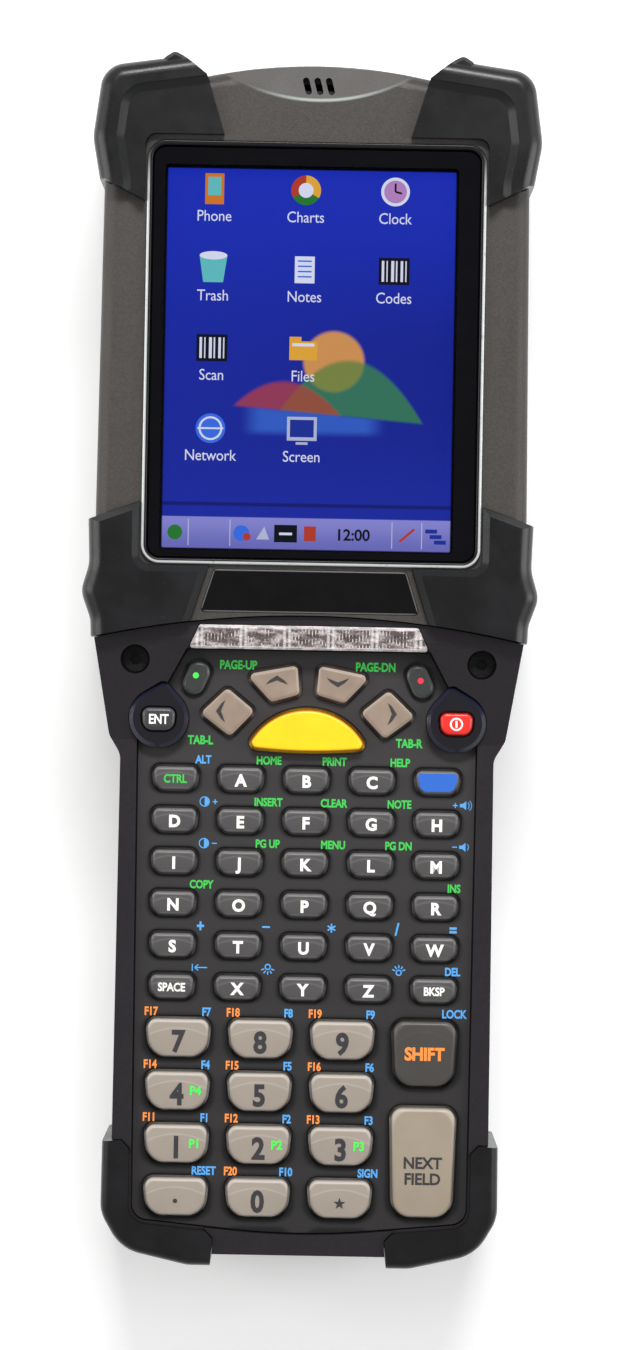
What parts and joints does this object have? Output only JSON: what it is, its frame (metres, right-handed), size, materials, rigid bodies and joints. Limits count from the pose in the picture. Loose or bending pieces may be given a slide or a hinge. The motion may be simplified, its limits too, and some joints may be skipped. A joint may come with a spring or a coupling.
{
  "type": "portable barcode data terminal",
  "caption": "Rugged brick-form barcode data terminal: touch display in a rubber-booted head over an alphanumeric keypad, with a scan window at the top end and a battery pack in the back.",
  "frame": {"origin": "middle of the flat resting back, at the centre of the overall width and length", "axes": "+X to the right of someone reading the screen, +Y up the terminal towards the display head, +Z out of the screen"},
  "size_m": [0.0914, 0.2439, 0.0515],
  "materials": {
    "casing_grey": "fine-textured warm grey",
    "frame_dark": "satin plum-black",
    "boot_rubber": "satin rubber over-moulding",
    "glass": "clear touch panel with black border",
    "screen": "display cell",
    "rim": "glossy black",
    "seal": "soft black",
    "sheet_metal": "stamped sheet",
    "nameplate": "bare glossy black",
    "lens": "ribbed clear lens",
    "board": "green circuit board",
    "plate": "dark grey keypad plate",
    "pod": "glossy navy black",
    "key_letter": "dark grey keycap",
    "key_number": "light grey keycap",
    "key_tan": "tan keycap",
    "key_scan": "bright yellow keycap",
    "key_red": "red keycap",
    "key_shift": "dark keycap",
    "key_green": "grey keycap with a coloured dot",
    "battery": "fine-textured black",
    "window": "dark red reader window",
    "module": "black moulded module",
    "connector": "black connector block",
    "stylus": "black pen",
    "screw": "dark steel"
  },
  "bodies": {
    "casing": {"boot_bottom_left": "boot_rubber", "boot_bottom_right": "boot_rubber", "boot_middle_left": "boot_rubber", "boot_middle_right": "boot_rubber", "boot_top_left": "boot_rubber", "boot_top_right": "boot_rubber", "case_screws": "screw", "case_seal": "seal", "display_carrier": "sheet_metal", "display_rim": "rim", "dock_connector": "connector", "front_housing": "casing_grey", "inner_screws": "screw", "key_pods": "pod", "keypad_board": "board", "keypad_frame": "frame_dark", "keypad_plate": "plate", "keypad_screws": "screw", "lcd_module": "screen", "light_bar_board": "board", "light_bar_lens": "lens", "main_board": "board", "nameplate": "nameplate", "rear_housing": "casing_grey", "scan_engine": "module", "scan_window": "window", "speaker": "module", "touch_panel": "glass"},
    "down_key": {"down_key": "key_tan"},
    "enter_key": {"enter_key": "key_green"},
    "field_key": {"field_key": "key_tan"},
    "green_dot_key": {"green_dot_key": "key_green"},
    "key_0": {"key_0": "key_number"},
    "key_1": {"key_1": "key_number"},
    "key_2": {"key_2": "key_number"},
    "key_3": {"key_3": "key_number"},
    "key_4": {"key_4": "key_number"},
    "key_5": {"key_5": "key_number"},
    "key_6": {"key_6": "key_number"},
    "key_7": {"key_7": "key_number"},
    "key_8": {"key_8": "key_number"},
    "key_9": {"key_9": "key_number"},
    "key_point": {"key_point": "key_number"},
    "key_star": {"key_star": "key_number"},
    "left_key": {"left_key": "key_tan"},
    "letter_keys_row_1": {"letter_keys_row_1": "key_letter"},
    "letter_keys_row_2": {"letter_keys_row_2": "key_letter"},
    "letter_keys_row_3": {"letter_keys_row_3": "key_letter"},
    "letter_keys_row_4": {"letter_keys_row_4": "key_letter"},
    "letter_keys_row_5": {"letter_keys_row_5": "key_letter"},
    "letter_keys_row_6": {"letter_keys_row_6": "key_letter"},
    "power_key": {"power_key": "key_red"},
    "red_dot_key": {"red_dot_key": "key_green"},
    "right_key": {"right_key": "key_tan"},
    "scan_key": {"scan_key": "key_scan"},
    "shift_key": {"shift_key": "key_shift"},
    "up_key": {"up_key": "key_tan"},
    "battery_pack": {"battery_pack": "battery"},
    "battery_latch": {"battery_latch": "battery"},
    "stylus": {"stylus": "stylus"}
  },
  "joints": [
    {"name": "down_key_press", "type": "slide", "parent": "casing", "child": "down_key", "axis": [0, 0, -1], "range_m": [0, 0.0008], "stiffness_N_per_m": 600, "springref_m": -0.0008},
    {"name": "enter_key_press", "type": "slide", "parent": "casing", "child": "enter_key", "axis": [0, 0, -1], "range_m": [0, 0.0008], "stiffness_N_per_m": 600, "springref_m": -0.0008},
    {"name": "field_key_press", "type": "slide", "parent": "casing", "child": "field_key", "axis": [0, 0, -1], "range_m": [0, 0.0008], "stiffness_N_per_m": 600, "springref_m": -0.0008},
    {"name": "green_dot_key_press", "type": "slide", "parent": "casing", "child": "green_dot_key", "axis": [0, 0, -1], "range_m": [0, 0.0008], "stiffness_N_per_m": 600, "springref_m": -0.0008},
    {"name": "key_0_press", "type": "slide", "parent": "casing", "child": "key_0", "axis": [0, 0, -1], "range_m": [0, 0.0008], "stiffness_N_per_m": 600, "springref_m": -0.0008},
    {"name": "key_1_press", "type": "slide", "parent": "casing", "child": "key_1", "axis": [0, 0, -1], "range_m": [0, 0.0008], "stiffness_N_per_m": 600, "springref_m": -0.0008},
    {"name": "key_2_press", "type": "slide", "parent": "casing", "child": "key_2", "axis": [0, 0, -1], "range_m": [0, 0.0008], "stiffness_N_per_m": 600, "springref_m": -0.0008},
    {"name": "key_3_press", "type": "slide", "parent": "casing", "child": "key_3", "axis": [0, 0, -1], "range_m": [0, 0.0008], "stiffness_N_per_m": 600, "springref_m": -0.0008},
    {"name": "key_4_press", "type": "slide", "parent": "casing", "child": "key_4", "axis": [0, 0, -1], "range_m": [0, 0.0008], "stiffness_N_per_m": 600, "springref_m": -0.0008},
    {"name": "key_5_press", "type": "slide", "parent": "casing", "child": "key_5", "axis": [0, 0, -1], "range_m": [0, 0.0008], "stiffness_N_per_m": 600, "springref_m": -0.0008},
    {"name": "key_6_press", "type": "slide", "parent": "casing", "child": "key_6", "axis": [0, 0, -1], "range_m": [0, 0.0008], "stiffness_N_per_m": 600, "springref_m": -0.0008},
    {"name": "key_7_press", "type": "slide", "parent": "casing", "child": "key_7", "axis": [0, 0, -1], "range_m": [0, 0.0008], "stiffness_N_per_m": 600, "springref_m": -0.0008},
    {"name": "key_8_press", "type": "slide", "parent": "casing", "child": "key_8", "axis": [0, 0, -1], "range_m": [0, 0.0008], "stiffness_N_per_m": 600, "springref_m": -0.0008},
    {"name": "key_9_press", "type": "slide", "parent": "casing", "child": "key_9", "axis": [0, 0, -1], "range_m": [0, 0.0008], "stiffness_N_per_m": 600, "springref_m": -0.0008},
    {"name": "key_point_press", "type": "slide", "parent": "casing", "child": "key_point", "axis": [0, 0, -1], "range_m": [0, 0.0008], "stiffness_N_per_m": 600, "springref_m": -0.0008},
    {"name": "key_star_press", "type": "slide", "parent": "casing", "child": "key_star", "axis": [0, 0, -1], "range_m": [0, 0.0008], "stiffness_N_per_m": 600, "springref_m": -0.0008},
    {"name": "left_key_press", "type": "slide", "parent": "casing", "child": "left_key", "axis": [0, 0, -1], "range_m": [0, 0.0008], "stiffness_N_per_m": 600, "springref_m": -0.0008},
    {"name": "letter_keys_row_1_press", "type": "slide", "parent": "casing", "child": "letter_keys_row_1", "axis": [0, 0, -1], "range_m": [0, 0.0008], "stiffness_N_per_m": 900, "springref_m": -0.0008},
    {"name": "letter_keys_row_2_press", "type": "slide", "parent": "casing", "child": "letter_keys_row_2", "axis": [0, 0, -1], "range_m": [0, 0.0008], "stiffness_N_per_m": 900, "springref_m": -0.0008},
    {"name": "letter_keys_row_3_press", "type": "slide", "parent": "casing", "child": "letter_keys_row_3", "axis": [0, 0, -1], "range_m": [0, 0.0008], "stiffness_N_per_m": 900, "springref_m": -0.0008},
    {"name": "letter_keys_row_4_press", "type": "slide", "parent": "casing", "child": "letter_keys_row_4", "axis": [0, 0, -1], "range_m": [0, 0.0008], "stiffness_N_per_m": 900, "springref_m": -0.0008},
    {"name": "letter_keys_row_5_press", "type": "slide", "parent": "casing", "child": "letter_keys_row_5", "axis": [0, 0, -1], "range_m": [0, 0.0008], "stiffness_N_per_m": 900, "springref_m": -0.0008},
    {"name": "letter_keys_row_6_press", "type": "slide", "parent": "casing", "child": "letter_keys_row_6", "axis": [0, 0, -1], "range_m": [0, 0.0008], "stiffness_N_per_m": 900, "springref_m": -0.0008},
    {"name": "power_key_press", "type": "slide", "parent": "casing", "child": "power_key", "axis": [0, 0, -1], "range_m": [0, 0.0008], "stiffness_N_per_m": 600, "springref_m": -0.0008},
    {"name": "red_dot_key_press", "type": "slide", "parent": "casing", "child": "red_dot_key", "axis": [0, 0, -1], "range_m": [0, 0.0008], "stiffness_N_per_m": 600, "springref_m": -0.0008},
    {"name": "right_key_press", "type": "slide", "parent": "casing", "child": "right_key", "axis": [0, 0, -1], "range_m": [0, 0.0008], "stiffness_N_per_m": 600, "springref_m": -0.0008},
    {"name": "scan_key_press", "type": "slide", "parent": "casing", "child": "scan_key", "axis": [0, 0, -1], "range_m": [0, 0.0008], "stiffness_N_per_m": 600, "springref_m": -0.0008},
    {"name": "shift_key_press", "type": "slide", "parent": "casing", "child": "shift_key", "axis": [0, 0, -1], "range_m": [0, 0.0008], "stiffness_N_per_m": 600, "springref_m": -0.0008},
    {"name": "up_key_press", "type": "slide", "parent": "casing", "child": "up_key", "axis": [0, 0, -1], "range_m": [0, 0.0008], "stiffness_N_per_m": 600, "springref_m": -0.0008},
    {"name": "battery_lift", "type": "slide", "parent": "casing", "child": "battery_pack", "axis": [0, 0, -1], "range_m": [0, 0.03]},
    {"name": "battery_latch_slide", "type": "slide", "parent": "casing", "child": "battery_latch", "axis": [0, -1, 0], "range_m": [0, 0.003], "stiffness_N_per_m": 250, "springref_m": -0.002},
    {"name": "stylus_draw", "type": "slide", "parent": "casing", "child": "stylus", "axis": [0, 1, 0], "range_m": [0, 0.07]}
  ]
}
